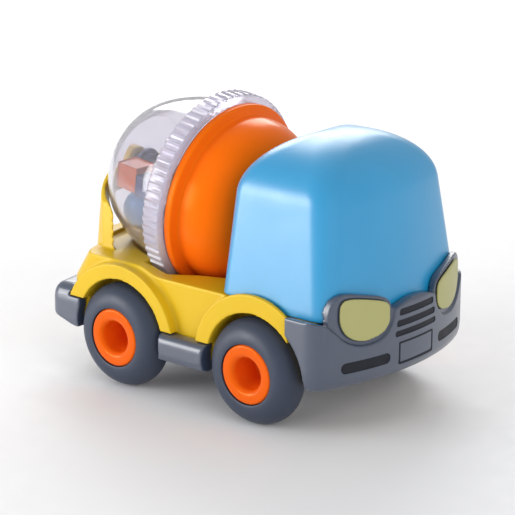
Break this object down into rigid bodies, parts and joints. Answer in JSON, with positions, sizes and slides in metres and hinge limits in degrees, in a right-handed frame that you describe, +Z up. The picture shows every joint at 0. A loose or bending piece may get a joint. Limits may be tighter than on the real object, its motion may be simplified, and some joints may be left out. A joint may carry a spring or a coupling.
{
  "type": "toy cement mixer",
  "caption": "Moulded toddler push-along cement mixer: blue cab, yellow chassis on free-rolling wheels, and an orange and clear drum that turns by hand on a tilted axis.",
  "frame": {"origin": "on the ground, under the middle of the bounding box", "axes": "+Z up, -Y forwards (towards the cab), +X towards the truck's left side"},
  "size_m": [0.0784, 0.125, 0.0927],
  "materials": {
    "yellow_plastic": "satin moulded",
    "blue_plastic": "satin moulded",
    "grey_plastic": "satin moulded",
    "lens_plastic": "satin, opaque",
    "grey_rubber": "smooth soft vinyl",
    "orange_plastic": "glossy moulded",
    "clear_plastic": "clear moulded plastic",
    "steel": "plain drawn or turned",
    "brass": "cut teeth",
    "white_nylon": "moulded nylon",
    "motor_casing": "moulded",
    "navy_plastic": "glossy moulded",
    "sky_plastic": "glossy moulded"
  },
  "bodies": {
    "truck_body": {"chassis": "yellow_plastic", "cab": "blue_plastic", "front_bumper": "grey_plastic", "headlight_lens_left": "lens_plastic", "headlight_lens_right": "lens_plastic", "base_plate": "grey_plastic", "rear_bumper": "grey_plastic", "base_screw_1": "steel", "base_screw_2": "steel", "base_screw_3": "steel", "base_screw_4": "steel", "motor_housing": "motor_casing", "motor_cover": "motor_casing", "idler_pin": "steel", "flywheel_pin": "steel", "drum_front_pin": "steel", "drum_rear_pin": "steel"},
    "front_wheelset": {"front_axle": "steel", "hub_front_left": "orange_plastic", "hub_front_right": "orange_plastic", "tyre_front_left": "grey_rubber", "tyre_front_right": "grey_rubber", "axle_gear": "brass"},
    "rear_wheelset": {"rear_axle": "steel", "hub_rear_left": "orange_plastic", "hub_rear_right": "orange_plastic", "tyre_rear_left": "grey_rubber", "tyre_rear_right": "grey_rubber"},
    "motor_idler": {"idler_gear": "white_nylon"},
    "motor_flywheel": {"flywheel": "steel"},
    "drum": {"drum_cone": "orange_plastic", "drum_dome": "clear_plastic", "drum_grip_ring": "clear_plastic", "drum_rear_bush": "navy_plastic", "mixing_block_orange": "orange_plastic", "mixing_block_navy": "navy_plastic", "mixing_ball_sky": "sky_plastic", "mixing_ball_navy": "navy_plastic", "mixing_ball_orange": "orange_plastic"}
  },
  "joints": [
    {"name": "front_axle_spin", "type": "hinge", "parent": "truck_body", "child": "front_wheelset", "pos_m": [0, -0.0266, 0.017], "axis": [1, 0, 0], "continuous": true},
    {"name": "rear_axle_spin", "type": "hinge", "parent": "truck_body", "child": "rear_wheelset", "pos_m": [0, 0.0285, 0.017], "axis": [1, 0, 0], "continuous": true},
    {"name": "idler_spin", "type": "hinge", "parent": "truck_body", "child": "motor_idler", "pos_m": [0, -0.0266, 0.0268], "axis": [1, 0, 0], "continuous": true},
    {"name": "flywheel_spin", "type": "hinge", "parent": "truck_body", "child": "motor_flywheel", "pos_m": [0, -0.0266, 0.0373], "axis": [1, 0, 0], "continuous": true},
    {"name": "drum_spin", "type": "hinge", "parent": "truck_body", "child": "drum", "pos_m": [0, 0.0132, 0.0588], "axis": [0, 0.9903, 0.1392], "continuous": true}
  ],
  "couplings": [
    {"joint": "idler_spin", "follows": "front_axle_spin", "ratio": -1.8},
    {"joint": "flywheel_spin", "follows": "front_axle_spin", "ratio": 3.6}
  ]
}
